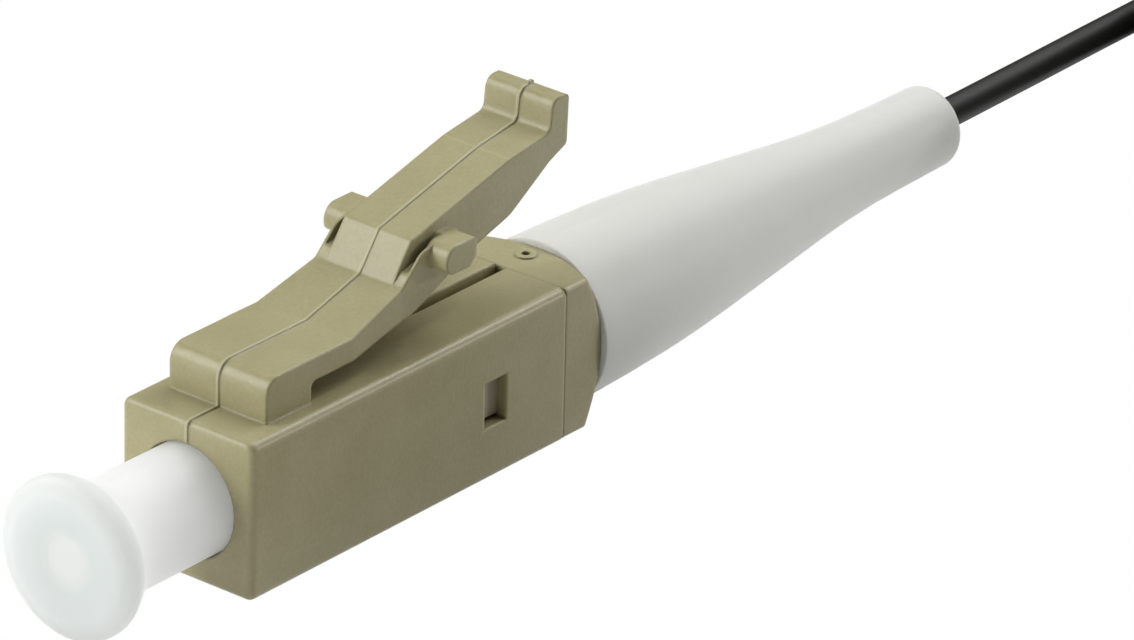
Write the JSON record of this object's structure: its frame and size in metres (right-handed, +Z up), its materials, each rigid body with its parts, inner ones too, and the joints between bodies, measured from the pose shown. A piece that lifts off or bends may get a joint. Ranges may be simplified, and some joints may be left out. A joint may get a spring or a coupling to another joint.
{
  "type": "lc fibre connector",
  "caption": "Simplex fibre plug with a sprung ceramic ferrule, thumb latch, tapered boot, translucent dust cap and a coiled thin buffered fibre.",
  "frame": {"origin": "on the surface, under the middle of the connector's length from the dust cap's front to the boot's end", "axes": "+Y along the ferrule towards the cable, +Z up to the latch, +X across"},
  "size_m": [0.0189, 0.058, 0.0097],
  "materials": {
    "beige_plastic": "satin moulded",
    "zirconia": "polished",
    "nickel_plate": "turned and plated",
    "silica": "clear",
    "fibre_coating": "clear coating",
    "spring_steel": "drawn wire",
    "pale_plastic": "satin moulded",
    "white_boot": "smooth soft polymer",
    "cap_polymer": "frosted translucent",
    "black_buffer": "smooth extruded",
    "tie_strap": "woven strap"
  },
  "bodies": {
    "plug": {"housing": "beige_plastic", "stop_body": "pale_plastic", "spring": "spring_steel", "boot": "white_boot", "cord": "black_buffer", "cord_coil": "black_buffer", "coil_tie": "tie_strap"},
    "latch": {"latch_arm": "beige_plastic"},
    "ferrule_group": {"ferrule": "zirconia", "ferrule_flange": "nickel_plate", "glass_fibre": "silica", "coated_fibre": "fibre_coating"},
    "cap": {"dust_cap": "cap_polymer"}
  },
  "joints": [
    {"name": "latch_press", "type": "hinge", "parent": "plug", "child": "latch", "pos_m": [0, -0.00971, 0.00556], "axis": [-1, 0, 0], "range_deg": [0, 10], "stiffness_Nm_per_rad": 0.2},
    {"name": "ferrule_float", "type": "slide", "parent": "plug", "child": "ferrule_group", "axis": [0, 1, 0], "range_m": [0, 0.0008], "stiffness_N_per_m": 1500, "springref_m": -0.003, "deforming": ["spring"]},
    {"name": "cap_pull", "type": "slide", "parent": "plug", "child": "cap", "axis": [0, -1, 0], "range_m": [0, 0.008]}
  ]
}
